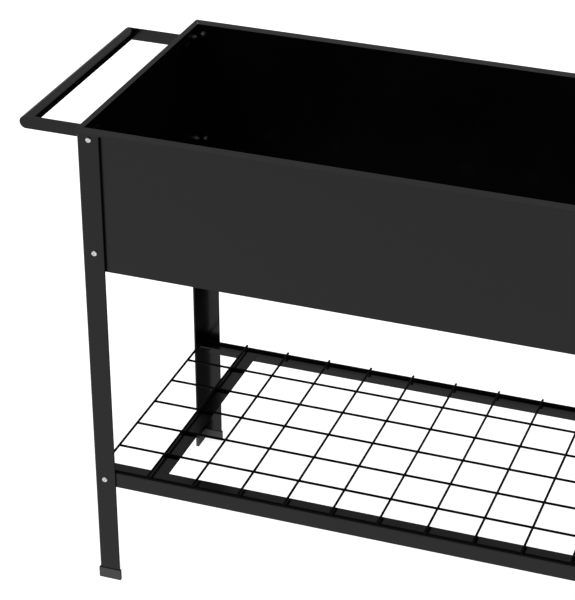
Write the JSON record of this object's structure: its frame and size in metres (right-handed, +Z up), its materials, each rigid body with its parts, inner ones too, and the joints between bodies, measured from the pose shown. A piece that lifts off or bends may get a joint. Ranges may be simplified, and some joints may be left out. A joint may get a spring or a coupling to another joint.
{
  "type": "raised planter",
  "caption": "Raised sheet-steel planter box on angle legs, with a wire-mesh shelf below, a push handle at one end and wheels on an axle at the other.",
  "frame": {"origin": "on the ground, under the middle of the whole object's box", "axes": "+X along the box from the handle end to the wheel end, +Y from the front long side to the back one, +Z up"},
  "size_m": [1.1742, 0.5444, 0.794],
  "materials": {
    "frame_paint": "semi-gloss black powder coat",
    "mesh_paint": "semi-gloss black powder coat",
    "foot_plastic": "matt moulded",
    "wheel_plastic": "matt moulded",
    "tyre_rubber": "matt",
    "zinc": "bright zinc plating"
  },
  "bodies": {
    "planter": {"front_panel": "frame_paint", "back_panel": "frame_paint", "left_end_panel": "frame_paint", "right_end_panel": "frame_paint", "floor_pan": "frame_paint", "floor_brace_1": "frame_paint", "floor_brace_2": "frame_paint", "leg_front_left": "frame_paint", "leg_back_left": "frame_paint", "leg_front_right": "frame_paint", "leg_back_right": "frame_paint", "foot_cap_front_left": "foot_plastic", "foot_cap_back_left": "foot_plastic", "shelf_rail_front": "frame_paint", "shelf_rail_back": "frame_paint", "shelf_crossbar_left": "frame_paint", "shelf_crossbar_right": "frame_paint", "shelf_mesh": "mesh_paint", "handle_arm_front": "frame_paint", "handle_arm_back": "frame_paint", "handle_bar": "frame_paint", "axle": "zinc", "wheel_spacer_front": "zinc", "wheel_washer_front": "zinc", "axle_cap_front": "zinc", "wheel_spacer_back": "zinc", "wheel_washer_back": "zinc", "axle_cap_back": "zinc", "bolt_front_left_long_upper": "zinc", "bolt_front_left_long_lower": "zinc", "bolt_front_left_end_upper": "zinc", "bolt_front_left_end_lower": "zinc", "bolt_front_left_shelf": "zinc", "bolt_back_left_long_upper": "zinc", "bolt_back_left_long_lower": "zinc", "bolt_back_left_end_upper": "zinc", "bolt_back_left_end_lower": "zinc", "bolt_back_left_shelf": "zinc", "bolt_front_right_long_upper": "zinc", "bolt_front_right_long_lower": "zinc", "bolt_front_right_end_upper": "zinc", "bolt_front_right_end_lower": "zinc", "bolt_front_right_shelf": "zinc", "bolt_back_right_long_upper": "zinc", "bolt_back_right_long_lower": "zinc", "bolt_back_right_end_upper": "zinc", "bolt_back_right_end_lower": "zinc", "bolt_back_right_shelf": "zinc", "bolt_handle_front_1": "zinc", "bolt_handle_front_2": "zinc", "bolt_handle_back_1": "zinc", "bolt_handle_back_2": "zinc"},
    "front_wheel": {"wheel_front": "wheel_plastic", "tyre_front": "tyre_rubber"},
    "back_wheel": {"wheel_back": "wheel_plastic", "tyre_back": "tyre_rubber"}
  },
  "joints": [
    {"name": "front_wheel_spin", "type": "hinge", "parent": "planter", "child": "front_wheel", "pos_m": [0.51113, -0.2451, 0.076], "axis": [0, 1, 0], "continuous": true},
    {"name": "back_wheel_spin", "type": "hinge", "parent": "planter", "child": "back_wheel", "pos_m": [0.51113, 0.2451, 0.076], "axis": [0, 1, 0], "continuous": true}
  ]
}
